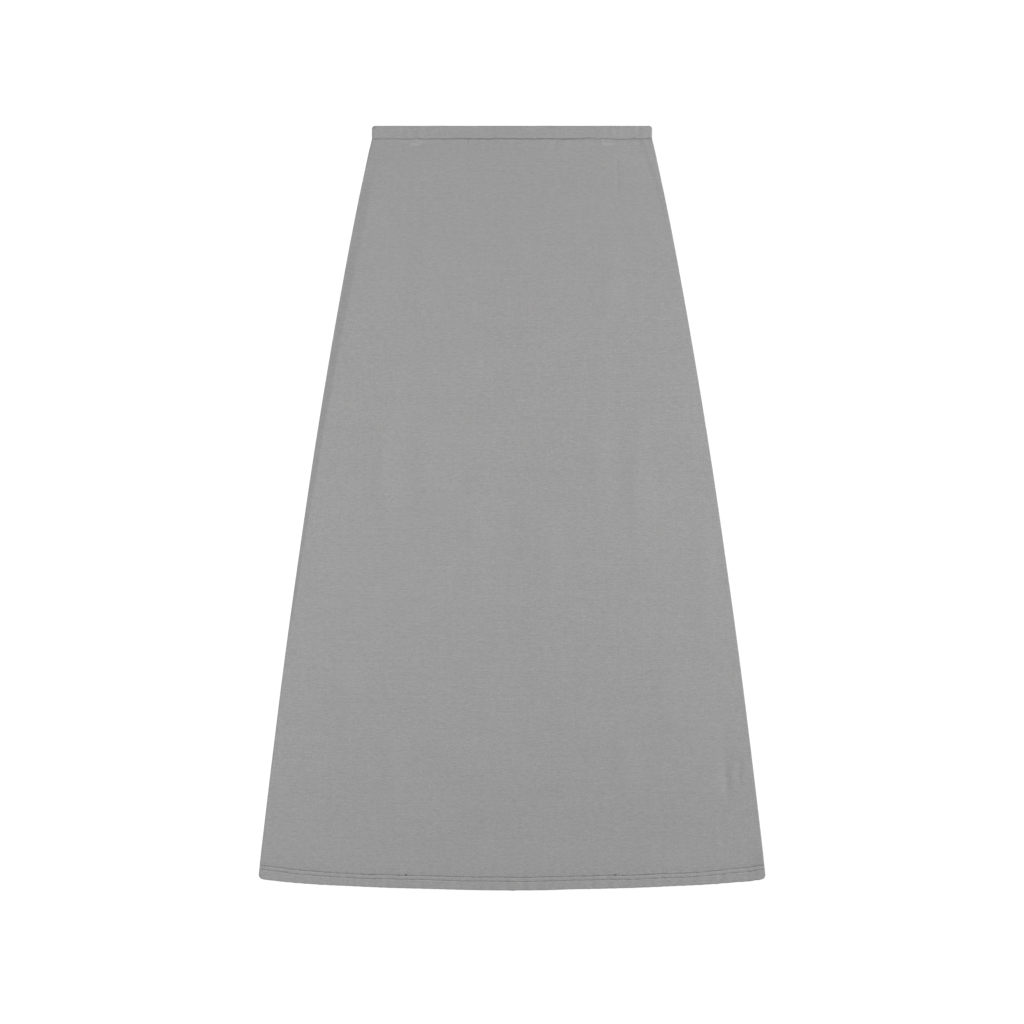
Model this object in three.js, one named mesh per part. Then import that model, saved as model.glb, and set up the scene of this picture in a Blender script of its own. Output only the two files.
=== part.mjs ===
import * as THREE from "three";

// A knit maxi skirt laid flat on its back: an A-line front and back with turned-up hems, and a waistband.
// Millimetres. X runs across the skirt, Y from hem to waist and Z up from the surface that it lies on.

const LENGTH = 950; // top of the waistband to the hem, down the middle
const WAIST_WIDTH = 348; // flat width of the waistband
const BAND_HEIGHT = 15.9;
const BAND_THICKNESS = 2.6; // two layers of jersey with the elastic between them
const BAND_EDGE_RADIUS = 1.2; // round of the band's fold and of its sewn edge
const BAND_CORNER_RADIUS = 3.5; // round of the band's two upper corners, seen from above
const CLOTH = 1; // one layer of jersey
const HEM_DEPTH = 18; // height of the turned-up layer
const HEM_RISE = 13.5; // how much higher the hem's two ends lie than its middle
const HEM_CORNER_RADIUS = 6;
const HEM_FOLD_RADIUS = 0.85; // round of the fold at the bottom of the hem
const HEM_STEP = 0.2; // length over which the turned-up layer's cut edge starts
const TOP_RADIUS = 0.45; // round of a panel's top edge, in the waist seam
const SEAM_GAP = 0.3; // between pieces that are sewn together
const DITCH = { reach: 4, depth: 0.9 }; // how the front dips into the waist seam
const SIDE_RIDGE = { width: 10, rise: 0.3, fade: 60 }; // over a side seam's turned-in edges, gone at both ends
const LEAST_RADIUS = 0.15; // smallest inside round at a side edge

const PANEL_LENGTH = LENGTH - BAND_HEIGHT;
const SEAM_Y = LENGTH / 2 - BAND_HEIGHT;

// Half of the flat width at distances below the waist seam, measured down the side.
const SIDE_CURVE = [
  { drop: 0, half: 174 },
  { drop: 15, half: 177.7 },
  { drop: 40, half: 183.1 },
  { drop: 80, half: 191.6 },
  { drop: 150, half: 205.2 },
  { drop: 265, half: 225.7 },
  { drop: 390, half: 246.1 },
  { drop: 515, half: 264.6 },
  { drop: 640, half: 281.9 },
  { drop: 765, half: 297.6 },
  { drop: 885, half: 311.8 },
  { drop: 921, half: 315.5 },
];

// Heights of the side seams and of the front's outer face, at distances below the waist seam.
const LEVELS = [
  { drop: 0, seam: 2.75, face: 5.2 },
  { drop: 9, seam: 2.7, face: 5.1 },
  { drop: 60, seam: 1.9, face: 3.5 },
  { drop: 130, seam: 1.6, face: 3 },
  { drop: 865, seam: 1.6, face: 3 },
  { drop: 912, seam: 2.1, face: 4.1 },
  { drop: PANEL_LENGTH, seam: 2.15, face: 4.3 },
];

// Soft ridges and troughs of the front: where the middle of each is, its size and its rise.
const FOLDS = [
  { across: -156, along: 425, width: 48, length: 250, rise: 0.6 },
  { across: 158, along: 430, width: 48, length: 260, rise: 0.6 },
  { across: -106, along: 410, width: 42, length: 180, rise: 0.45 },
  { across: 110, along: 405, width: 42, length: 190, rise: 0.45 },
  { across: -44, along: 500, width: 46, length: 210, rise: 0.4 },
  { across: 44, along: 510, width: 46, length: 220, rise: 0.4 },
  { across: 4, along: 640, width: 60, length: 420, rise: -0.35 },
  { across: -112, along: 180, width: 44, length: 200, rise: 0.35 },
  { across: 118, along: 170, width: 44, length: 190, rise: 0.35 },
  { across: -148, along: 780, width: 40, length: 150, rise: 0.45 },
  { across: 142, along: 785, width: 40, length: 140, rise: 0.45 },
  { across: -206, along: 690, width: 46, length: 190, rise: 0.45 },
  { across: 197, along: 695, width: 46, length: 180, rise: 0.4 },
  { across: -238, along: 560, width: 44, length: 230, rise: 0.35 },
  { across: 240, along: 540, width: 44, length: 240, rise: 0.35 },
  { across: 268, along: 790, width: 36, length: 110, rise: -0.35 },
];

const FRONT_GRID = { rows: 26, columns: 34 };
const BACK_GRID = { rows: 12, columns: 18 };
const EDGE_ANGLES = [90, 60, 30, 0]; // round of a side edge, from the panel's face down to the side seam
const END_ANGLES = [0, 35, 65, 90]; // round of a panel's end, in its thickness
const BAND_CORNER_TURNS = [0, 45, 90]; // round of each corner of the band's wall
const BAND_SIDE_STEPS = 6; // facets round each end of the flattened band
const BAND_COLUMNS = 24;

const degrees = (angle) => (angle * Math.PI) / 180;

function eased(share) {
  const t = Math.min(1, Math.max(0, share));
  return t * t * (3 - 2 * t);
}

// The row of a table below `at`, the row above it, and the share of the way between them.
function between(table, at) {
  const last = table.length - 2;
  const found = table.findIndex((row, i) => i <= last && at < table[i + 1].drop);
  const index = found < 0 ? last : found;
  const [low, high] = [table[index], table[index + 1]];
  return { index, low, high, share: (at - low.drop) / (high.drop - low.drop) };
}

// A column of LEVELS at a distance below the seam, easing from row to row.
function level(column, drop) {
  const { low, high, share } = between(LEVELS, drop);
  return low[column] + (high[column] - low[column]) * eased(share);
}

// Half of the flat width at a distance down the side, on a smooth curve through SIDE_CURVE.
function sideCurve(drop) {
  const slopeAt = (i) => {
    const [a, b] = [SIDE_CURVE[Math.max(0, i - 1)], SIDE_CURVE[Math.min(SIDE_CURVE.length - 1, i + 1)]];
    return (b.half - a.half) / (b.drop - a.drop);
  };
  const { index, low, high, share: t } = between(SIDE_CURVE, drop);
  const span = high.drop - low.drop;
  const near = low.half * (1 + 2 * t) * (1 - t) ** 2 + slopeAt(index) * span * t * (1 - t) ** 2;
  const far = high.half * (3 - 2 * t) * t ** 2 - slopeAt(index + 1) * span * (1 - t) * t ** 2;
  return near + far;
}

// How far a rounded corner has drawn in, `distance` before its end.
function cornerInset(radius, distance) {
  const into = Math.max(0, radius - distance);
  return radius - Math.sqrt(radius ** 2 - into ** 2);
}

// Half of the flat width, without the rounded corner of the hem.
function openWidth(drop) {
  return sideCurve((drop * (PANEL_LENGTH - HEM_RISE)) / PANEL_LENGTH);
}

function halfWidth(drop) {
  return openWidth(drop) - cornerInset(HEM_CORNER_RADIUS, PANEL_LENGTH - drop);
}

function foldRise(x, drop) {
  const bump = (distance, size) => 1 - eased((2 * Math.abs(distance)) / size);
  return FOLDS.reduce(
    (sum, fold) => sum + fold.rise * bump(x - fold.across, fold.width) * bump(drop - fold.along, fold.length),
    0,
  );
}

// The front's outer face above the surface, x across from the middle and drop below the waist seam.
function frontHeight(x, drop, half) {
  const aboveHem = PANEL_LENGTH - HEM_DEPTH - drop;
  const lasting = eased(drop / SIDE_RIDGE.fade) * eased(aboveHem / SIDE_RIDGE.fade);
  const ridge = SIDE_RIDGE.rise * (1 - eased((half - Math.abs(x)) / SIDE_RIDGE.width)) * lasting;
  const dip = DITCH.depth * (1 - eased(drop / DITCH.reach));
  return level("face", drop) + ridge + foldRise(x, drop) - dip;
}

// Where a panel has a section, from the waist down: rounded top, cloth, the hem's step and its rounded fold.
function sectionPlaces(rows) {
  const hemTop = PANEL_LENGTH - HEM_DEPTH;
  const start = END_ANGLES.map((angle) => ({
    drop: SEAM_GAP / 2 + TOP_RADIUS * (1 - Math.cos(degrees(angle))),
    thickness: CLOTH,
    shrink: TOP_RADIUS * (1 - Math.sin(degrees(angle))),
  }));
  const cloth = Array.from({ length: rows }, (_, i) => ({
    drop: (hemTop * (1 - Math.cos((Math.PI * (i + 1)) / rows))) / 2,
    thickness: CLOTH,
    shrink: 0,
  }));
  const hemDrops = [hemTop + HEM_STEP, PANEL_LENGTH - HEM_CORNER_RADIUS, PANEL_LENGTH - HEM_CORNER_RADIUS / 2];
  const hem = hemDrops.map((drop) => ({ drop, thickness: 2 * CLOTH, shrink: 0 }));
  const fold = END_ANGLES.map((angle) => ({
    drop: PANEL_LENGTH - HEM_FOLD_RADIUS * (1 - Math.sin(degrees(angle))),
    thickness: 2 * CLOTH,
    shrink: HEM_FOLD_RADIUS * (1 - Math.cos(degrees(angle))),
  }));
  return [...start, ...cloth, ...hem, ...fold];
}

// Points across a panel between its rounded side edges, closer together on the ridges along the side seams.
function columnPlaces(reach, columns) {
  const steps = [0, SIDE_RIDGE.width / 2, SIDE_RIDGE.width];
  const inner = reach - steps.at(-1);
  const middle = Array.from({ length: columns - 1 }, (_, i) => -inner + (2 * inner * (i + 1)) / columns);
  return [...steps.map((step) => step - reach), ...middle, ...steps.toReversed().map((step) => reach - step)];
}

// One cross-section of a panel as a ring: its outer points from left to right, then its inner points back.
function panelSection({ drop, thickness, shrink }, side, columns) {
  const front = side === "front";
  const half = halfWidth(drop);
  const seam = level("seam", drop) + (front ? SEAM_GAP / 2 : -SEAM_GAP / 2);
  const faceAt = (x) => (front ? frontHeight(x, drop, half) : 0);
  const towards = front ? 1 : -1; // which way the outer face looks
  const edgeRadius = towards * (faceAt(half) - seam);
  const wall = Math.min(thickness, edgeRadius - LEAST_RADIUS);
  const placeY = (x) => SEAM_Y - drop + HEM_RISE * (x / openWidth(drop)) ** 2 * (drop / PANEL_LENGTH);
  const layer = (depth) => {
    const radius = edgeRadius - depth;
    const edge = (sign) =>
      EDGE_ANGLES.slice(1).map((angle) => ({
        x: sign * (half - edgeRadius + radius * Math.cos(degrees(angle))),
        z: seam + towards * radius * Math.sin(degrees(angle)),
      }));
    const middle = columnPlaces(half - edgeRadius, columns).map((x) => ({ x, z: faceAt(x) - towards * depth }));
    const points = [...edge(-1).reverse(), ...middle, ...edge(1)];
    return points.map(({ x, z }) => new THREE.Vector3(x, placeY(x), z));
  };
  return [...layer(shrink), ...layer(wall - shrink).reverse()];
}

function panelSections(side, { rows, columns }) {
  return sectionPlaces(rows).map((place) => panelSection(place, side, columns));
}

// The waistband's wall round its flattened opening, as one loop for each point of the wall's rounded outline.
function bandLoops() {
  const height = BAND_HEIGHT - SEAM_GAP / 2;
  const [outer, inner] = [BAND_EDGE_RADIUS, BAND_THICKNESS - BAND_EDGE_RADIUS];
  const [low, high] = [BAND_EDGE_RADIUS, height - BAND_EDGE_RADIUS];
  const corners = [
    { inset: inner, up: high, from: 90 },
    { inset: inner, up: low, from: 0 },
    { inset: outer, up: low, from: -90 },
    { inset: outer, up: high, from: -180 },
  ];
  const outline = corners.flatMap(({ inset, up, from }) =>
    BAND_CORNER_TURNS.map((turn) => ({
      inset: inset + BAND_EDGE_RADIUS * Math.cos(degrees(from - turn)),
      up: up + BAND_EDGE_RADIUS * Math.sin(degrees(from - turn)),
    })),
  );
  return outline.map(({ inset, up }) => bandLoop(inset, SEAM_Y + SEAM_GAP / 2 + up, height - up));
}

// One loop round the flattened band, `inset` in from its outer face.
function bandLoop(inset, y, belowTop) {
  const middle = BAND_THICKNESS + SEAM_GAP / 2; // height of the band's side folds
  const half = WAIST_WIDTH / 2 - cornerInset(BAND_CORNER_RADIUS, belowTop);
  const radius = middle - inset;
  const straight = half - middle;
  const across = Array.from({ length: BAND_COLUMNS + 1 }, (_, i) => straight * (1 - (2 * i) / BAND_COLUMNS));
  const bend = Array.from({ length: BAND_SIDE_STEPS - 1 }, (_, i) => (Math.PI * (i + 1)) / BAND_SIDE_STEPS);
  const upperHalf = [
    ...across.map((x) => ({ x, z: radius })),
    ...bend.map((turn) => ({ x: -straight - radius * Math.sin(turn), z: radius * Math.cos(turn) })),
  ];
  const lowerHalf = upperHalf.map(({ x, z }) => ({ x: -x, z: -z }));
  return [...upperHalf, ...lowerHalf].map(({ x, z }) => new THREE.Vector3(x, y, middle + z));
}

// A closed surface through rings of equal length. An open run of rings gets a cap at each end, across its wall.
function skin(rings, closed) {
  const size = rings[0].length;
  const triangles = [];
  const quad = (a, b, c, d) => triangles.push(a, b, c, a, c, d);
  const lastRing = closed ? rings.length : rings.length - 1;
  for (let r = 0; r < lastRing; r++) {
    const here = r * size;
    const next = ((r + 1) % rings.length) * size;
    for (let i = 0; i < size; i++) {
      const j = (i + 1) % size;
      quad(here + i, next + i, next + j, here + j);
    }
  }
  if (!closed) {
    const end = (rings.length - 1) * size;
    for (let i = 0; i < size / 2 - 1; i++) {
      const opposite = size - 1 - i;
      quad(i, i + 1, opposite - 1, opposite);
      quad(end + i + 1, end + i, end + opposite, end + opposite - 1);
    }
  }
  const geometry = new THREE.BufferGeometry().setFromPoints(rings.flat());
  geometry.setIndex(triangles);
  geometry.computeVertexNormals();
  return geometry;
}

function piece(name, color, geometry) {
  const mesh = new THREE.Mesh(geometry, new THREE.MeshStandardMaterial({ color, roughness: 0.95, metalness: 0 }));
  mesh.name = name;
  return mesh;
}

const frontRings = panelSections("front", FRONT_GRID);
const backRings = panelSections("back", BACK_GRID).map((ring) => ring.reverse());

const skirt = new THREE.Group();
skirt.add(
  piece("front_panel", 0x9c9b9b, skin(frontRings, false)),
  piece("back_panel", 0x9c9b9b, skin(backRings, false)),
  piece("waistband", 0x9b9a9a, skin(bandLoops(), true)),
);

export default skirt;
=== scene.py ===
import math
import random

import bpy
import numpy as np
from mathutils import Matrix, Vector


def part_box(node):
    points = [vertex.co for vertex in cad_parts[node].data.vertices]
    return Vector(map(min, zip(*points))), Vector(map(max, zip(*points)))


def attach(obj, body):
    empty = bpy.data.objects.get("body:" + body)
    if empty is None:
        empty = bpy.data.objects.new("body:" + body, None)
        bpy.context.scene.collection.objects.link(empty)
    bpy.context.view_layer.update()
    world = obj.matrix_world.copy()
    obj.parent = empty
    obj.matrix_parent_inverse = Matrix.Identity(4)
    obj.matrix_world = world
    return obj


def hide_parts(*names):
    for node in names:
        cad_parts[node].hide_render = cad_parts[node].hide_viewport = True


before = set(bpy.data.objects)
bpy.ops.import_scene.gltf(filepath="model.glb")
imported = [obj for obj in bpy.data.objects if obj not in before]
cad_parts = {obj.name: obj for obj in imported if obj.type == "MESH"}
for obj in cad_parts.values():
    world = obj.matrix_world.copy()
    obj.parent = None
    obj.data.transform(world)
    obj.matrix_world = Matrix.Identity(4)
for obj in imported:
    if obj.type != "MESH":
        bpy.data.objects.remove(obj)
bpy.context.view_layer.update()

# A knit maxi skirt laid flat. Lengths are in millimetres until a mesh is made, which is in metres.
# X runs across the skirt, Y from hem to waist, Z up. "Drop" is the distance below the waist seam.
MM = 0.001

# Sizes read from the frame, and the gap that the solids leave at their seams
SEAM_GAP = 0.3
BAND_LOW, BAND_HIGH = (np.array(corner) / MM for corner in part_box("waistband"))
SEAM_Y = BAND_LOW[1] - SEAM_GAP / 2
PANEL_LENGTH = SEAM_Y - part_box("front_panel")[0].y / MM
WAIST_HALF = BAND_HIGH[0]

# Sizes of the cloth and its sewing
CLOTH = 0.8
HEM_LAYER_GAP = 0.1
HEM_STACK = 2 * CLOTH + HEM_LAYER_GAP
HEM_DEPTH = 18
HEM_RISE = 13.5
HEM_CORNER_RADIUS = 6.5
VISIBLE_SEAM_GAP = 0.06
STITCH = {"pitch": 2.8, "length": 2.5, "radius": 0.175, "rows": (11.0, 16.1), "trough": 2.2, "margin": 2.2}

# How far a panel's side edge bends round, in how many points, and how flat edges are pressed (1 is round)
SIDE_TURN = math.radians(102)
EDGE_POINTS = 6
RIGHT_EDGE_PRESS = 0.4
BAND_END_PRESS = 0.45

# Half of the flat width at distances below the waist seam, measured down the side
SIDE_CURVE = [
    {"drop": 0, "half": 174},
    {"drop": 15, "half": 177.7},
    {"drop": 40, "half": 183.1},
    {"drop": 80, "half": 191.6},
    {"drop": 150, "half": 205.2},
    {"drop": 265, "half": 225.7},
    {"drop": 390, "half": 246.1},
    {"drop": 515, "half": 264.6},
    {"drop": 640, "half": 281.9},
    {"drop": 765, "half": 297.6},
    {"drop": 885, "half": 311.8},
    {"drop": 921, "half": 315.5},
]

# Heights of the side seams and of the front's outer face
LEVELS = [
    {"drop": 0, "seam": 2.75, "face": 5.2},
    {"drop": 9, "seam": 2.7, "face": 5.1},
    {"drop": 60, "seam": 1.9, "face": 3.5},
    {"drop": 130, "seam": 1.6, "face": 3},
    {"drop": 865, "seam": 1.6, "face": 3},
    {"drop": 912, "seam": 2.1, "face": 4.1},
    {"drop": PANEL_LENGTH, "seam": 2.15, "face": 4.3},
]

# Soft ridges and troughs of the front: where the middle of each is, its size and its rise
FOLDS = [
    {"across": -156, "along": 425, "width": 48, "length": 250, "rise": 0.6},
    {"across": 158, "along": 430, "width": 48, "length": 260, "rise": 0.6},
    {"across": -106, "along": 410, "width": 42, "length": 180, "rise": 0.45},
    {"across": 110, "along": 405, "width": 42, "length": 190, "rise": 0.45},
    {"across": -44, "along": 500, "width": 46, "length": 210, "rise": 0.4},
    {"across": 44, "along": 510, "width": 46, "length": 220, "rise": 0.4},
    {"across": 4, "along": 640, "width": 60, "length": 420, "rise": -0.35},
    {"across": -112, "along": 180, "width": 44, "length": 200, "rise": 0.35},
    {"across": 118, "along": 170, "width": 44, "length": 190, "rise": 0.35},
    {"across": -148, "along": 780, "width": 40, "length": 150, "rise": 0.45},
    {"across": 142, "along": 785, "width": 40, "length": 140, "rise": 0.45},
    {"across": -206, "along": 690, "width": 46, "length": 190, "rise": 0.45},
    {"across": 197, "along": 695, "width": 46, "length": 180, "rise": 0.4},
    {"across": -238, "along": 560, "width": 44, "length": 230, "rise": 0.35},
    {"across": 240, "along": 540, "width": 44, "length": 240, "rise": 0.35},
    {"across": 268, "along": 790, "width": 36, "length": 110, "rise": -0.35},
]

# Narrow creases of the front that are too fine for the solid
CREASES = [
    {"across": 131, "along": 48, "width": 9, "length": 95, "rise": -0.16},
    {"across": -143, "along": 52, "width": 9, "length": 90, "rise": -0.12},
    {"across": -131, "along": 175, "width": 10, "length": 60, "rise": -0.12},
    {"across": -56, "along": 3, "width": 4, "length": 14, "rise": -0.6},
    {"across": 55, "along": 3, "width": 4, "length": 14, "rise": -0.6},
    {"across": 60, "along": 4, "width": 3, "length": 12, "rise": -0.35},
    {"across": -30, "along": 2, "width": 5, "length": 9, "rise": -0.15},
    {"across": 22, "along": 2, "width": 5, "length": 10, "rise": -0.15},
    {"across": -133, "along": 910, "width": 6, "length": 76, "rise": -0.24},
    {"across": -190, "along": 918, "width": 6, "length": 30, "rise": -0.2},
    {"across": -97, "along": 927, "width": 6, "length": 22, "rise": -0.24},
    {"across": 187, "along": 900, "width": 6, "length": 130, "rise": -0.2},
    {"across": 97, "along": 928, "width": 6, "length": 18, "rise": -0.2},
]

# Creases with a steep right flank and a gentle left one
LEANING_CREASES = [
    {"across": -156, "along": 423, "steep": 8, "gentle": 60, "length": 200, "rise": 0.36},
    {"across": -107, "along": 410, "steep": 8, "gentle": 45, "length": 120, "rise": 0.26},
    {"across": 157, "along": 423, "steep": 7, "gentle": 45, "length": 200, "rise": 0.28},
    {"across": 109, "along": 410, "steep": 7, "gentle": 36, "length": 120, "rise": 0.2},
    {"across": -147, "along": 783, "steep": 6, "gentle": 34, "length": 80, "rise": 0.18},
    {"across": 141, "along": 783, "steep": 6, "gentle": 34, "length": 80, "rise": 0.18},
    {"across": -204, "along": 704, "steep": 6, "gentle": 30, "length": 70, "rise": 0.15},
    {"across": 7, "along": 490, "steep": 26, "gentle": 90, "length": 280, "rise": -0.4},
    {"across": 268, "along": 770, "steep": 9, "gentle": 60, "length": 170, "rise": -0.25},
    {"across": 270, "along": 807, "steep": 6, "gentle": 14, "length": 50, "rise": -1.1},
    {"across": 285, "along": 797, "steep": 6, "gentle": 12, "length": 54, "rise": -0.55},
]

# How the front rolls down to the left side seam: how wide the roll is and how deep it falls
LEFT_ROLL = [
    {"drop": 20, "reach": 16, "fall": 0},
    {"drop": 60, "reach": 15.5, "fall": 1.1},
    {"drop": 139, "reach": 15, "fall": 1.5},
    {"drop": 226, "reach": 12.5, "fall": 2},
    {"drop": 325, "reach": 9.5, "fall": 2.3},
    {"drop": 425, "reach": 7.2, "fall": 2.2},
    {"drop": 499, "reach": 5, "fall": 1.6},
    {"drop": 575, "reach": 4, "fall": 1.45},
    {"drop": 625, "reach": 2.5, "fall": 0},
]

# How far the hem's outline sways up or down, beside an even shift, and the small nick in its middle
HEM_SWAY = [
    {"across": -309, "width": 60, "up": 0.5},
    {"across": -248, "width": 130, "up": -0.6},
    {"across": -100, "width": 150, "up": 0.47},
    {"across": 74, "width": 70, "up": 0.3},
    {"across": 100, "width": 150, "up": 0.47},
    {"across": 248, "width": 130, "up": -0.6},
    {"across": 305, "width": 24, "up": 1.05},
]
HEM_SHIFT = -0.13
HEM_NICK = {"across": 0.6, "width": 7, "height": 5, "down": 0.5}

# The ditch along the waist seam, and the puff of the cloth below it
SEAM_DITCH = {"depth": 0.87, "middle": 0.36, "right": 0.28, "width": 1.8}
SEAM_PUFF = {"rise": 0.3, "start": 2, "length": 7}

# Where the band's corner is tucked in
TUCK = {"across": -171.8, "from_top": 2, "size": 3.8, "depth": 1.7}

# How far the stitch rows stray up from an even distance above the hem, by distance from the middle
STITCH_STRAY = [
    {"across": 0, "up": 0},
    {"across": 130, "up": 0},
    {"across": 205, "up": -0.75},
    {"across": 285, "up": 0.85},
    {"across": 316, "up": 1.1},
]

# Knots and stretches sewn twice: each turn of thread is (across, up, tilt, length)
SMALL_KNOT = [(-0.6, 0.3, 0.4, 1.8), (0.6, 0.4, -0.4, 1.8), (0, 0, 0, 2.4)]
LARGE_KNOT = [
    (-1.3, 0.3, -0.4, 2.2), (0, 1.1, 0.1, 2.2), (1.3, 0.6, 0.5, 2.2), (0, 0, 0, 3.6), (0.5, 0.7, -0.3, 2.2),
]
SEWN_TWICE = [(-2.2, 0, 0, 2.8), (0.2, 0.1, 0, 2.8), (2.4, 0, 0, 2.4)]
KNOTS = [
    {"row": 1, "across": -217.7, "turns": [(0, 0.2, 1.4, 0.8)]},
    {"row": 1, "across": -173, "turns": SEWN_TWICE},
    {"row": 0, "across": -173.5, "turns": SEWN_TWICE[1:]},
    {"row": 1, "across": -141.2, "turns": SMALL_KNOT},
    {"row": 1, "across": -131.8, "turns": LARGE_KNOT},
    {"row": 1, "across": 128.2, "turns": LARGE_KNOT},
    {"row": 1, "across": 137.8, "turns": [(0, 0.3, 0.3, 1.6)]},
    {"row": 1, "across": 168, "turns": SEWN_TWICE},
]

# Where the thread has sunk in, and what share of its trough and of its thickness is lost there
SUNK = {"across": -212.5, "length": 8, "trough": 0.85, "thread": 0.8}


# Curves that the shapes share

def eased(share):
    t = np.clip(share, 0, 1)
    return t * t * (3 - 2 * t)


def faded(distance, length, start=0):
    """1 up to `start`, then easing to 0 over `length`."""
    return 1 - eased((distance - start) / length)


def bump(distance, size):
    """A soft hill from 0 to 1 and back, `size` wide."""
    return 1 - eased(2 * np.abs(distance) / size)


def column(table, name):
    return np.array([row[name] for row in table], float)


def level(name, drop):
    """A column of LEVELS at a distance below the seam, easing from row to row."""
    drops, values = column(LEVELS, "drop"), column(LEVELS, name)
    low = np.clip(np.searchsorted(drops, drop, side="right") - 1, 0, len(drops) - 2)
    share = (drop - drops[low]) / (drops[low + 1] - drops[low])
    return values[low] + (values[low + 1] - values[low]) * eased(share)


def open_width(drop):
    """Half of the flat width, on a smooth curve through SIDE_CURVE, without the rounded corner of the hem."""
    drops, halves = column(SIDE_CURVE, "drop"), column(SIDE_CURVE, "half")
    before = np.maximum(np.arange(len(drops)) - 1, 0)
    after = np.minimum(np.arange(len(drops)) + 1, len(drops) - 1)
    slopes = (halves[after] - halves[before]) / (drops[after] - drops[before])
    down_the_side = drop * (PANEL_LENGTH - HEM_RISE) / PANEL_LENGTH
    low = np.clip(np.searchsorted(drops, down_the_side, side="right") - 1, 0, len(drops) - 2)
    span = drops[low + 1] - drops[low]
    t = (down_the_side - drops[low]) / span
    near = halves[low] * (1 + 2 * t) * (1 - t) ** 2 + slopes[low] * span * t * (1 - t) ** 2
    far = halves[low + 1] * (3 - 2 * t) * t**2 - slopes[low + 1] * span * (1 - t) * t**2
    return near + far


def half_width(drop):
    return open_width(drop) - corner_inset(HEM_CORNER_RADIUS, PANEL_LENGTH - drop)


def near_hem(drop):
    """0 on most of a panel, easing to 1 before the hem."""
    return eased((drop - PANEL_LENGTH + 60) / 40)


def place_y(x, drop):
    """Y of a point of a panel: its rows bow down in the middle, as the hem does, and the hem sways."""
    bow = HEM_RISE * (x / open_width(drop)) ** 2 * (drop / PANEL_LENGTH)
    sway = HEM_SHIFT + sum(part["up"] * bump(x - part["across"], part["width"]) for part in HEM_SWAY)
    return SEAM_Y - drop + bow + sway * near_hem(drop)


def corner_inset(radius, distance):
    """How far a rounded corner has drawn in, `distance` before its end."""
    into = np.clip(radius - distance, 0, radius)
    return radius - np.sqrt(radius**2 - into**2)


def wander(x, seed, pitch):
    """A smooth irregular wave of x, about from -1 to 1, with waves about a pitch long."""
    rng = random.Random(seed)
    waves = [(pitch * rng.uniform(0.55, 1.8), rng.uniform(0, 2 * math.pi)) for _ in range(6)]
    return sum(np.sin(2 * math.pi * x / length + phase) for length, phase in waves) / len(waves) ** 0.5


def seam_wobble(x):
    """How far the waist seam strays from a straight line."""
    return 0.28 * wander(x, 3, 60) + 0.26 * wander(x, 4, 16) + 0.15 * wander(x, 6, 6)


def seam_opening(x):
    """Half the width of the gap along the waist seam, which is wider in the middle."""
    middle = faded(np.abs(x), 70, 70)
    return np.maximum(0.02, 0.01 + 0.1 * middle + 0.08 * wander(x, 5, 10))


def stitch_height(row, x):
    """Distance of a row of hem stitches above the hem's edge."""
    stray = np.interp(np.abs(x), column(STITCH_STRAY, "across"), column(STITCH_STRAY, "up"))
    return STITCH["rows"][row] + stray + 0.2 * wander(x, 11, 60) + 0.14 * wander(x, 12 + row, 14)


# Relief of the front and of the hems

def hills(table, x, drop):
    total = np.zeros(np.broadcast(x, drop).shape)
    for hill in table:
        across = bump(x - hill["across"], hill["width"])
        total += hill["rise"] * across * bump(drop - hill["along"], hill["length"])
    return total


def drawn_creases():
    """Faint long creases, each at a share of the width, so they fan out with the cloth."""
    rng = random.Random(21)
    made = []
    for _ in range(150):
        made.append({
            "share": rng.uniform(-0.97, 0.97),
            "along": rng.uniform(60, 880),
            "width": rng.uniform(9, 22),
            "length": rng.uniform(70, 280),
            "rise": rng.choice((-1, 1)) * rng.uniform(0.01, 0.045),
        })
    return made


def fine_creases(x, drop, half):
    total = np.zeros(np.broadcast(x, drop).shape)
    for crease in FINE_CREASES:
        across = bump(x - crease["share"] * half, crease["width"])
        total += crease["rise"] * across * bump(drop - crease["along"], crease["length"])
    return total


def leaning_creases(x, drop):
    total = np.zeros(np.broadcast(x, drop).shape)
    for crease in LEANING_CREASES:
        before = crease["across"] - x
        shape = eased(before / crease["steep"] + 0.5) * (1 - eased(before / crease["gentle"]))
        total += crease["rise"] * shape * bump(drop - crease["along"], crease["length"])
    return total


def left_roll(x, drop, half):
    """The front falls to its left side seam, from a low crest further in."""
    crest_share, crest_width = 0.45, 240
    reach = np.interp(drop, column(LEFT_ROLL, "drop"), column(LEFT_ROLL, "reach"))
    fall = np.interp(drop, column(LEFT_ROLL, "drop"), column(LEFT_ROLL, "fall"))
    fall = fall * (1 + 0.1 * wander(drop, 31, 60))
    inboard = x + half
    return crest_share * fall * faded(inboard, crest_width, reach) - fall * faded(inboard, reach)


def right_ridge(x, drop, half):
    """A low ridge along the top of the right side, from near the end of the waist seam."""
    rise, width = 0.4, 7
    path = half - 5 - 8 * faded(drop, 90)
    return rise * eased((x - path) / width + 0.5) * eased(drop / 8) * faded(drop, 80, 60)


def right_lift(x, drop, half):
    """The hem's right end stands up a little."""
    rise, width = 1.3, 26
    return rise * np.clip((x - half + width) / width, 0, 1) ** 2 * eased((drop - 872) / 30)


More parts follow.
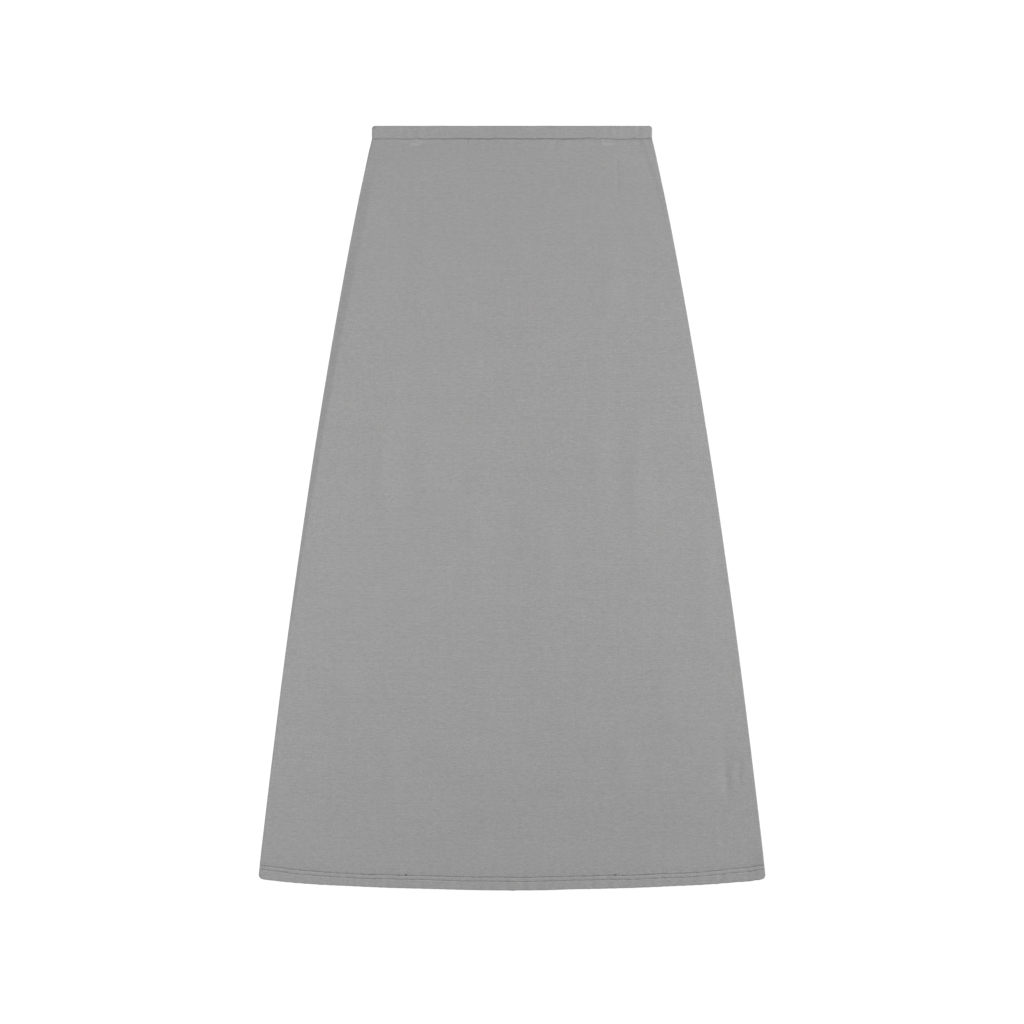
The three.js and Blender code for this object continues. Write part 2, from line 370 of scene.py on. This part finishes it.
def hem_relief(x, drop):
    """Troughs where the stitches pull the hem in, and ripples down from the even face."""
    above = PANEL_LENGTH - drop
    fade = eased((32 - above) / 16) * (0.25 + 0.75 * eased((24 - above) / 8))
    ripple = 0.5 + 0.5 * wander(x, 41, 14)
    slow = 0.5 + 0.5 * wander(x, 42, 48)
    relief = -0.34 * fade * ripple - 0.1 * fade * slow
    pulled = 1 - SUNK["trough"] * bump(x - SUNK["across"], SUNK["length"])
    for row in (0, 1):
        depth = 0.58 + 0.08 * row + 0.1 * wander(x, 43 + row, 22) + 0.13 * wander(x, 45 + row, 6)
        relief = relief - depth * pulled * bump(above - stitch_height(row, x), STITCH["trough"])
    return relief


def seam_relief(x, drop):
    """The ditch along the waist seam, and the puffed and puckered cloth below it."""
    middle = faded(np.abs(x - 6), 60, 46)
    depth = SEAM_DITCH["depth"] + SEAM_DITCH["middle"] * middle + SEAM_DITCH["right"] * eased((x - 100) / 50)
    depth = depth + 0.13 * wander(x, 52, 7) * (0.3 + 0.7 * middle)
    puff = SEAM_PUFF["rise"] * faded(drop, SEAM_PUFF["length"], SEAM_PUFF["start"])
    pucker = 0.09 * wander(x, 51, 14) * faded(drop, 26)
    return puff + pucker - depth * faded(drop, SEAM_DITCH["width"])


def front_height(x, drop, half):
    """Height of the front's outer face above the surface."""
    relief = hills(FOLDS, x, drop) + hills(CREASES, x, drop)
    relief = relief + leaning_creases(x, drop) + fine_creases(x, drop, half)
    relief = relief + left_roll(x, drop, half) + right_ridge(x, drop, half) + right_lift(x, drop, half)
    return level("face", drop) + relief + hem_relief(x, drop) + seam_relief(x, drop)


def back_height(x, drop, half):
    """The back's outer face lies flat, but for its stitches' troughs and the ditch of its waist seam."""
    above = PANEL_LENGTH - drop
    troughs = [0.5 * bump(above - stitch_height(row, x), STITCH["trough"]) for row in (0, 1)]
    return sum(troughs) + 0.9 * faded(drop, 1.6)


FINE_CREASES = drawn_creases()
HEIGHTS = {"front": front_height, "back": back_height}
OUTWARD = {"front": 1, "back": -1}


# Meshes

def new_object(name, points, faces, flat_from=None):
    """A mesh object from points in millimetres. Faces from flat_from on aren't smoothed."""
    mesh = bpy.data.meshes.new(name)
    mesh.from_pydata((np.asarray(points) * MM).tolist(), [], faces)
    smooth = np.ones(len(faces), bool)
    if flat_from is not None:
        smooth[flat_from:] = False
    mesh.polygons.foreach_set("use_smooth", smooth)
    mesh.update()
    made = bpy.data.objects.new(name, mesh)
    bpy.context.scene.collection.objects.link(made)
    return made


def grid_faces(rows, columns, start=0, flip=False, close_rows=False, close_columns=False):
    """Quads over a grid of points stored row by row."""
    r = np.arange(rows if close_rows else rows - 1)[:, None]
    c = np.arange(columns if close_columns else columns - 1)[None, :]
    r_next, c_next = (r + 1) % rows, (c + 1) % columns
    corners = [r * columns + c, r_next * columns + c, r_next * columns + c_next, r * columns + c_next]
    quads = np.stack([np.broadcast_to(k, (r.size, c.size)) for k in corners], -1).reshape(-1, 4) + start
    return (quads[:, ::-1] if flip else quads).tolist()


def spaced(stretches, start):
    """Places from start on, by (end, step) stretches."""
    places = [start]
    for end, step in stretches:
        count = max(1, round((end - places[-1]) / step))
        places += list(np.linspace(places[-1], end, count + 1)[1:])
    return np.array(places)


def panel_point(side, across, turn, drop):
    """Points of a panel's outer face: across is -1 to 1 over the flat part, turn goes round the side edge."""
    out, height = OUTWARD[side], HEIGHTS[side]
    half = half_width(drop)
    seam = level("seam", drop) + out * VISIBLE_SEAM_GAP / 2
    sign = np.sign(across)
    typical_radius = 1.7
    edge_face = height(sign * (half - typical_radius), drop, half)
    radius = out * (edge_face - seam) / (1 - math.cos(SIDE_TURN))
    bulge = radius * np.where(sign > 0, RIGHT_EDGE_PRESS, 1)
    x = across * (half - bulge)
    z = height(x, drop, half) - out * radius * (1 - np.cos(turn))
    x = x + sign * bulge * np.sin(turn)
    y = place_y(x, drop)
    y = y + seam_wobble(x) * faded(drop, 20) - seam_opening(x) * faded(drop, 3)
    nick = HEM_NICK["down"] * bump(x - HEM_NICK["across"], HEM_NICK["width"])
    y = y - nick * eased((drop - PANEL_LENGTH) / HEM_NICK["height"] + 1)
    return np.stack(np.broadcast_arrays(x, y, z), -1)


def panel_rows(flat, offset):
    """Drop and depth of each row of a sheet `offset` under the outer face, from the waist round the hem."""
    fold_radius = HEM_STACK / 2
    fold_drop = PANEL_LENGTH - fold_radius
    theta = np.linspace(0, math.pi, 9)[1:-1]
    turned_up = np.linspace(fold_drop, PANEL_LENGTH - HEM_DEPTH, 10)
    drop = np.concatenate([flat, fold_drop + (fold_radius - offset) * np.sin(theta), turned_up])
    folded = fold_radius - (fold_radius - offset) * np.cos(theta)
    depth = np.concatenate([0 * flat + offset, folded, 0 * turned_up + HEM_STACK - offset])
    return drop, depth


def panel_columns(edge_columns, middle_columns):
    """Where the columns of a panel lie across it, and how far each has gone round the side edge."""
    edge = 1 - 0.07 * np.linspace(0, 1, edge_columns, endpoint=False)
    middle = np.linspace(-0.93, 0.93, middle_columns)
    bend = np.linspace(SIDE_TURN, 0, EDGE_POINTS, endpoint=False)
    across = np.concatenate([0 * bend - 1, -edge, middle, edge[::-1], 0 * bend + 1])
    turn = np.concatenate([bend, 0 * edge, 0 * middle, 0 * edge, bend[::-1]])
    return across, turn


def panel_sheet(side, rows, columns):
    """Points of one face of a panel's cloth as a grid, from the waist down, round the hem's fold and up."""
    drop, depth = rows[0][:, None], rows[1][:, None, None]
    across, turn = columns[0][None, :], columns[1][None, :]
    follow = near_hem(drop) * eased((PANEL_LENGTH - 3 - drop) / 6)
    drop = drop - follow * (stitch_height(0, across * half_width(drop)) - STITCH["rows"][0])
    step = 0.02
    face = panel_point(side, across, turn, drop)
    down = panel_point(side, across, turn, drop + step) - panel_point(side, across, turn, drop - step)
    out = OUTWARD[side] * np.cross(down, np.gradient(face, axis=1))
    return face - out / np.linalg.norm(out, axis=-1, keepdims=True) * depth


def kept(count, step, last_free):
    """Every step-th of a count of places, and each one beyond last_free."""
    return sorted(set(range(0, last_free, step)) | set(range(last_free - 1, count)))


def make_panel(name, side, row_stretches, edge_columns, middle_columns, row_step, column_step):
    """A closed shell of cloth: its outer face, a coarser inner one, and the cut edges between them."""
    flat = spaced(row_stretches + [(PANEL_LENGTH - HEM_STACK / 2, 0.5)], 0.05)
    across, turn = panel_columns(edge_columns, middle_columns)
    outer = panel_sheet(side, panel_rows(flat, 0), (across, turn))
    rows, columns = outer.shape[:2]
    row_keep = kept(rows, row_step, len(flat))
    column_keep = sorted(set(range(EDGE_POINTS)) | set(kept(columns, column_step, columns - EDGE_POINTS)))
    inner_rows = [values[row_keep] for values in panel_rows(flat, CLOTH)]
    inner = panel_sheet(side, inner_rows, (across[column_keep], turn[column_keep]))
    start, width = rows * columns, len(column_keep)
    front = side == "front"
    faces = grid_faces(rows, columns, 0, not front) + grid_faces(len(row_keep), width, start, front)
    flat_from = len(faces)

    def rim(outer_index, inner_index, keep, flip):
        """Faces from the outer points between two kept places to the inner points beside them."""
        for k, (a, b) in enumerate(zip(keep[:-1], keep[1:])):
            face = [outer_index(i) for i in range(a, b + 1)] + [inner_index(k + 1), inner_index(k)]
            faces.append(face[::-1] if flip else face)

    last_row, last_kept = (rows - 1) * columns, start + (len(row_keep) - 1) * width
    rim(lambda i: i, lambda k: start + k, column_keep, front)
    rim(lambda i: last_row + i, lambda k: last_kept + k, column_keep, not front)
    rim(lambda i: i * columns, lambda k: start + k * width, row_keep, not front)
    rim(lambda i: i * columns + columns - 1, lambda k: start + k * width + width - 1, row_keep, front)
    points = np.concatenate([outer.reshape(-1, 3), inner.reshape(-1, 3)])
    return new_object(name, points, faces, flat_from)


def make_waistband(name):
    """The folded band as a closed ring, with its faint ripples over the elastic."""
    wall, middle_z = 2.6, (BAND_HIGH[2] + BAND_LOW[2]) / 2
    height = BAND_HIGH[1] - SEAM_Y - 0.2
    top_radius, low_radius, corner_radius = 0.9, 0.6, 3.5
    arc = np.linspace(0, math.pi / 2, 7)
    rise = np.linspace(low_radius, height - top_radius, 13)[1:-1]
    top_turn = [(top_radius * (1 - math.sin(a)), height - top_radius * (1 - math.cos(a))) for a in arc]
    low_turn = [(low_radius * (1 - math.cos(a)), low_radius * (1 - math.sin(a))) for a in arc]
    outline = top_turn + [(0, up) for up in rise[::-1]] + low_turn
    outline += [(wall - inset, up) for inset, up in low_turn[::-1]]
    outline += [(wall, up) for up in rise[::3]]
    outline += [(wall - inset, up) for inset, up in top_turn[::-1]]
    inset, up = np.array(outline).T[:, :, None]
    half = WAIST_HALF + 0.2 - corner_inset(corner_radius, height - up)
    radius = middle_z - inset
    straight = half - BAND_END_PRESS * middle_z
    across = np.linspace(1, -1, 261)[None, :]
    bend = np.linspace(0, math.pi, 12)[1:-1][None, :]
    top = np.stack(np.broadcast_arrays(straight * across, radius), -1)
    end = -straight - BAND_END_PRESS * radius * np.sin(bend)
    left = np.stack(np.broadcast_arrays(end, radius * np.cos(bend)), -1)
    upper = np.concatenate([top, left], 1)
    loop = np.concatenate([upper, -upper], 1)
    x, z = loop[..., 0], loop[..., 1]
    outer_face = eased((1 - inset) / 0.8)
    in_middle = np.sin(np.clip(up / height, 0, 1) * math.pi)
    gathered = 0.6 * bump(np.abs(x) - 126, 70) + 0.5
    relief = 0.11 * gathered * wander(x, 61, 12) + 0.07 * wander(x, 62, 34) - 0.1
    elastic = 0.1 * bump(up - 8.2, 16)
    tuck = TUCK["depth"] * bump(np.hypot(x - TUCK["across"], up - height + TUCK["from_top"]), TUCK["size"])
    z = z + np.where(z > 0, 1, 0) * outer_face * (in_middle * relief + elastic - 0.1 - tuck)
    strays = seam_wobble(x) * faded(up, 7) + seam_opening(x) * faded(up, 2)
    y = SEAM_Y + up + strays + 0.06 * (wander(x, 63, 40) - 0.8) * eased(up / 12)
    points = np.stack(np.broadcast_arrays(x, y, z + middle_z), -1)
    faces = grid_faces(points.shape[0], points.shape[1], close_rows=True, close_columns=True)
    return new_object(name, points.reshape(-1, 3), faces)


def make_stitches(name, side, seed):
    """Both rows of hem stitches on one panel: short threads that dive into the cloth, and a few knots."""
    rng = random.Random(seed)
    out, radius = OUTWARD[side], STITCH["radius"]
    thinnest, knot_size = 0.3, 1.7
    between_rows = PANEL_LENGTH - 14.0
    reach = float(half_width(np.array(between_rows))) - STITCH["margin"]
    count = int(2 * reach / STITCH["pitch"])
    threads = []
    for row in (0, 1):
        for i in range(count):
            across = -reach + (i + 0.5) * 2 * reach / count + rng.uniform(-0.12, 0.12)
            gain = 1 + 0.22 * row + 0.32 * float(wander(across, 81 + row, 9))
            gain -= SUNK["thread"] * float(bump(across - SUNK["across"], SUNK["length"]))
            threads.append({
                "row": row,
                "across": across,
                "up": rng.uniform(-0.2, 0.2),
                "length": STITCH["length"] * rng.uniform(0.88, 1.06),
                "tilt": rng.uniform(-0.08, 0.08),
                "radius": radius * rng.uniform(0.7, 1.3) * max(gain, thinnest),
                "lift": rng.uniform(-0.08, 0.12),
            })
    for knot in KNOTS:
        for turn in knot["turns"]:
            threads.append({
                "row": knot["row"],
                "across": knot["across"] + turn[0],
                "up": turn[1],
                "tilt": turn[2],
                "length": turn[3],
                "radius": radius * knot_size,
                "lift": 0.15,
            })
    ring_share = np.array([-0.5, -0.42, -0.2, 0.2, 0.42, 0.5])
    ring_size = np.array([0.35, 0.8, 1, 1, 0.8, 0.35])
    ring_lift = np.array([-0.2, -0.04, 0.08, 0.08, -0.04, -0.2])
    around = np.linspace(0, 2 * math.pi, 7)[:-1]
    points, faces = [], []
    for thread in threads:
        x = thread["across"] + ring_share * thread["length"]
        drop = PANEL_LENGTH - stitch_height(thread["row"], x) - thread["up"]
        drop = drop + thread["tilt"] * (x - thread["across"])
        y = place_y(x, drop)
        z = HEIGHTS[side](x, drop, half_width(drop)) + out * (ring_lift + thread["lift"])
        z = np.maximum(z, thread["radius"])
        start = len(points)
        for k in range(len(x)):
            size = thread["radius"] * ring_size[k]
            points += [(x[k], y[k] + size * math.cos(a), z[k] + size * math.sin(a)) for a in around]
        faces += grid_faces(len(x), len(around), start, close_columns=True)
        faces.append([start + k for k in range(len(around))])
        faces.append([start + (len(x) - 1) * len(around) + k for k in range(len(around))][::-1])
    return new_object(name, points, faces)


# Materials

class Nodes:
    """Short calls for making a material's nodes."""

    def __init__(self, name):
        self.material = bpy.data.materials.new(name)
        self.material.use_nodes = True
        self.tree = self.material.node_tree
        self.shader = self.tree.nodes["Principled BSDF"]
        self.place = self.tree.nodes.new("ShaderNodeTexCoord").outputs["Object"]

    def set(self, socket, value):
        if isinstance(value, bpy.types.NodeSocket):
            self.tree.links.new(value, socket)
        else:
            socket.default_value = value

    def math(self, operation, a, b=0.0):
        node = self.tree.nodes.new("ShaderNodeMath")
        node.operation = operation
        self.set(node.inputs[0], a)
        self.set(node.inputs[1], b)
        return node.outputs[0]

    def noise(self, size, detail=1.0, shift=0.0, roughness=0.5):
        """Noise from -1 to 1 whose grains are about `size` millimetres along X, Y and Z."""
        mapping = self.tree.nodes.new("ShaderNodeMapping")
        self.set(mapping.inputs["Vector"], self.place)
        mapping.inputs["Scale"].default_value = [1 / (s * MM) for s in size]
        mapping.inputs["Location"].default_value = (shift, shift, shift)
        noise = self.tree.nodes.new("ShaderNodeTexNoise")
        self.set(noise.inputs["Vector"], mapping.outputs[0])
        noise.inputs["Scale"].default_value = 1
        noise.inputs["Detail"].default_value = detail
        noise.inputs["Roughness"].default_value = roughness
        return self.math("MULTIPLY", self.math("SUBTRACT", noise.outputs[0], 0.5), 2)

    def fade(self, place, axis, near, far):
        """A value that goes with one axis of a place from near to far, each (millimetres, value)."""
        split = self.tree.nodes.new("ShaderNodeSeparateXYZ")
        self.set(split.inputs[0], place)
        node = self.tree.nodes.new("ShaderNodeMapRange")
        node.interpolation_type = "SMOOTHSTEP"
        self.set(node.inputs["Value"], split.outputs[axis])
        node.inputs["From Min"].default_value = near[0] * MM
        node.inputs["From Max"].default_value = far[0] * MM
        node.inputs["To Min"].default_value = near[1]
        node.inputs["To Max"].default_value = far[1]
        return node.outputs[0]

    def total(self, *terms):
        """The sum of (weight, value) terms."""
        parts = [self.math("MULTIPLY", value, weight) for weight, value in terms]
        made = parts[0]
        for part in parts[1:]:
            made = self.math("ADD", made, part)
        return made

    def vector(self, operation, a, b=None):
        node = self.tree.nodes.new("ShaderNodeVectorMath")
        node.operation = operation
        self.set(node.inputs[0], a)
        if b is not None:
            self.set(node.inputs["Scale" if operation == "SCALE" else 1], b)
        return node.outputs[0]

    def colour(self, tone, base, tint=0.0):
        """The colour `base` made lighter or darker by `tone`, with specks of about `tint` in other hues."""
        hue = self.tree.nodes.new("ShaderNodeTexNoise")
        self.set(hue.inputs["Vector"], self.place)
        hue.inputs["Scale"].default_value = 1 / (1.9 * MM)
        hue.inputs["Detail"].default_value = 0
        specks = self.vector("SUBTRACT", hue.outputs["Color"], (0.5, 0.5, 0.5))
        specks = self.vector("SCALE", specks, 2 * tint)
        shaded = self.vector("SCALE", base, self.math("ADD", tone, 1))
        return self.vector("ADD", shaded, self.vector("MULTIPLY", specks, base))

    def bump(self, height, distance, strength=1.0):
        node = self.tree.nodes.new("ShaderNodeBump")
        node.inputs["Strength"].default_value = strength
        node.inputs["Distance"].default_value = distance * MM
        self.set(node.inputs["Height"], height)
        self.set(self.shader.inputs["Normal"], node.outputs[0])


def knit(nodes, wale, course):
    """Height of the knit's V stitches, from -1 to 1: columns a wale wide, legs that slant in each course."""
    split = nodes.tree.nodes.new("ShaderNodeSeparateXYZ")
    nodes.set(split.inputs[0], nodes.place)
    across = nodes.math("MULTIPLY", split.outputs[0], math.pi / (wale * MM))
    leg = nodes.math("ABSOLUTE", nodes.math("SINE", across))
    along = nodes.math("MULTIPLY", split.outputs[1], 2 * math.pi / (course * MM))
    slanted = nodes.math("SINE", nodes.math("ADD", along, nodes.math("MULTIPLY", leg, 2.4)))
    return nodes.total((0.6, nodes.math("SUBTRACT", leg, 0.6)), (0.4, slanted))


def painted_highlight_mark(nodes):
    """Painted highlight: a mask for a lighter L under the seam on either side, where the end of the seam
    allowance presses through and would catch the light.
    """
    beside = nodes.vector("ABSOLUTE", nodes.place)
    inner = nodes.fade(beside, 0, (110.5, 0), (112.5, 1))
    outer = nodes.fade(beside, 0, (125, 1), (129.5, 0))
    foot = nodes.fade(nodes.place, 1, (SEAM_Y - 9.3, 0), (SEAM_Y - 8, 1))
    head = nodes.fade(nodes.place, 1, (SEAM_Y - 2, 1), (SEAM_Y, 0))
    reach, length = nodes.math("MULTIPLY", inner, outer), nodes.math("MULTIPLY", foot, head)
    upright = nodes.fade(beside, 0, (114, 1), (116, 0))
    line = nodes.fade(nodes.place, 1, (SEAM_Y - 6.5, 1), (SEAM_Y - 5, 0))
    return nodes.math("MULTIPLY", nodes.math("MULTIPLY", reach, length), nodes.math("MAXIMUM", line, upright))


def jersey_material(name, base):
    """Melange jersey: pale and dark fibres drawn out along the courses, over a fine knit, and a painted
    highlight in an L under the waist seam.
    """
    nodes = Nodes(name)
    wisps = nodes.noise((2.5, 1, 2.5), detail=1)
    long_wisps = nodes.noise((8, 1.3, 6), detail=1, shift=7.3)
    courses = nodes.noise((110, 2, 40), detail=1, shift=6.6)
    upright = nodes.noise((2.2, 30, 20), detail=1, shift=4.4)
    specks = nodes.noise((1.05, 0.9, 1.2), detail=1, shift=3.1)
    blotches = nodes.noise((60, 45, 40), detail=1, shift=5.7)
    streaks = nodes.noise((5, 90, 40), detail=1, shift=1.9)
    stitches = knit(nodes, wale=0.86, course=0.62)
    tone = nodes.total((0.11, wisps), (0.13, long_wisps), (0.04, courses), (0.03, upright), (0.225, specks),
                       (0.02, blotches), (0.014, streaks), (0.02, stitches))
    tone = nodes.math("MULTIPLY", tone, nodes.fade(nodes.place, 1, (150, 1), (350, 0.8)))
    # Painted highlight: the tone is lightened in an L under the seam on either side, standing in for light
    # caught where the seam allowance presses through.
    tone = nodes.math("ADD", tone, nodes.math("MULTIPLY", painted_highlight_mark(nodes), 0.11))
    nodes.set(nodes.shader.inputs["Base Color"], nodes.colour(tone, base, 0.041))
    fuzz = nodes.noise((0.5, 0.4, 0.4), detail=2, shift=9.2)
    nodes.bump(nodes.total((0.5, stitches), (0.35, fuzz), (0.3, wisps)), 0.09, 0.7)
    nodes.set(nodes.shader.inputs["Roughness"], nodes.total((1, 0.9), (0.08, specks)))
    nodes.shader.inputs["Specular IOR Level"].default_value = 0.18
    nodes.shader.inputs["Sheen Weight"].default_value = 0.12
    nodes.shader.inputs["Sheen Roughness"].default_value = 0.55
    nodes.shader.inputs["Sheen Tint"].default_value = (0.95, 0.95, 0.97, 1)
    return nodes.material


def thread_material(name, base):
    """Spun thread: fine slanting plies and a little fuzz."""
    nodes = Nodes(name)
    plies = nodes.noise((0.22, 0.5, 0.5), detail=1)
    tone = nodes.total((0.35, plies), (0.25, nodes.noise((3, 3, 3), shift=2.2)))
    nodes.set(nodes.shader.inputs["Base Color"], nodes.colour(tone, base))
    nodes.bump(plies, 0.05, 0.8)
    nodes.set(nodes.shader.inputs["Roughness"], nodes.total((1, 0.75), (0.1, plies)))
    nodes.shader.inputs["Specular IOR Level"].default_value = 0.25
    nodes.shader.inputs["Sheen Weight"].default_value = 0.1
    return nodes.material


def floor_material(name):
    nodes = Nodes(name)
    tone = nodes.noise((400, 400, 400), detail=1)
    nodes.set(nodes.shader.inputs["Base Color"], nodes.colour(nodes.total((0.004, tone)), (0.1, 0.1, 0.1)))
    nodes.shader.inputs["Roughness"].default_value = 0.9
    nodes.shader.inputs["Specular IOR Level"].default_value = 0.1
    nodes.shader.inputs["Emission Color"].default_value = (1, 1, 1, 1)
    nodes.shader.inputs["Emission Strength"].default_value = 0.95
    return nodes.material


# Stage

def make_floor():
    size, below = 60000, -0.1
    corners = [(x * size, y * size, below) for x, y in ((-1, -1), (1, -1), (1, 1), (-1, 1))]
    floor = new_object("floor", corners, [[0, 1, 2, 3]], 0)
    floor.data.materials.append(floor_material("pale_floor"))


def aim(made, place, target):
    """Puts a light or camera at a place, looking at the target with +Y up in its view."""
    place, target = np.array(place, float), np.array(target, float)
    back = (place - target) / np.linalg.norm(place - target)
    right = np.cross((0, 1, 0), back)
    right = right / np.linalg.norm(right)
    up = np.cross(back, right)
    columns = [np.append(axis, 0) for axis in (right, up, back)] + [np.append(place, 1)]
    made.matrix_world = Matrix(np.array(columns).T.tolist())


def make_light(name, place, target, size, watts):
    light = bpy.data.lights.new(name, "AREA")
    light.shape = "RECTANGLE"
    light.size, light.size_y = size
    light.energy = watts
    made = bpy.data.objects.new(name, light)
    bpy.context.scene.collection.objects.link(made)
    aim(made, place, target)


def make_lights():
    make_light("softbox_right", (1.2, 0.2, 1.2), (0, 0.1, 0), size=(0.6, 1.0), watts=14.0)
    make_light("softbox_left", (-1.25, -0.01, 1.25), (0, 0, 0), size=(0.6, 1.0), watts=22.6)
    make_light("low_right", (3.4, 0.4, 0.85), (0, 0, 0), size=(0.8, 0.8), watts=119)
    world = bpy.data.worlds.new("studio")
    world.use_nodes = True
    background = world.node_tree.nodes["Background"]
    background.inputs["Color"].default_value = (1, 1, 1, 1)
    background.inputs["Strength"].default_value = 0.15
    bpy.context.scene.world = world


def make_camera():
    """Straight above the skirt, and far enough away to look nearly flat, as in the photo."""
    photo_px, mm_per_px = 1024, 1.2426
    centre = (-0.12, -4.9)
    lens = 100
    camera = bpy.data.cameras.new("camera")
    camera.lens = lens
    camera.sensor_width = 36
    camera.clip_end = 100
    distance = photo_px * mm_per_px * MM * lens / camera.sensor_width
    made = bpy.data.objects.new("camera", camera)
    bpy.context.scene.collection.objects.link(made)
    made.location = (centre[0] * MM, centre[1] * MM, distance + 3 * MM)
    bpy.context.scene.camera = made


# The skirt

def finish_piece(piece, nodes=()):
    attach(piece, "root")
    if nodes:
        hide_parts(*nodes)


jersey = jersey_material("melange_jersey", (0.2815, 0.279, 0.2795))
# Painted light: the band's jersey is a slightly lighter copy of the panels' jersey, standing in for the light
# on the band.
band_jersey_painted_light = jersey_material("melange_band_jersey", (0.286, 0.2835, 0.284))
# Painted shade: the thread's grey is far darker than the cloth's, standing in for the shade in the stitch
# troughs and needle holes of the hem rows.
thread = thread_material("hem_thread_painted_dark", (0.075, 0.075, 0.077))

front = make_panel(
    "front_cloth", "front", [(3.05, 0.3), (8, 0.8), (30, 2), (866, 4.4), (912, 2.2)],
    edge_columns=14, middle_columns=200, row_step=3, column_step=2,
)
back = make_panel(
    "back_cloth", "back", [(3, 0.6), (30, 4), (900, 14)],
    edge_columns=8, middle_columns=100, row_step=2, column_step=2,
)
band = make_waistband("waistband_cloth")
front_stitches = make_stitches("front_hem_stitches", "front", seed=71)
back_stitches = make_stitches("back_hem_stitches", "back", seed=72)

band.data.materials.append(band_jersey_painted_light)
for piece in (front, back):
    piece.data.materials.append(jersey)
for piece in (front_stitches, back_stitches):
    piece.data.materials.append(thread)

finish_piece(front, ["front_panel"])
finish_piece(back, ["back_panel"])
finish_piece(band, ["waistband"])
finish_piece(front_stitches)
finish_piece(back_stitches)

make_floor()
make_lights()
make_camera()
bpy.context.scene.view_settings.view_transform = "Standard"
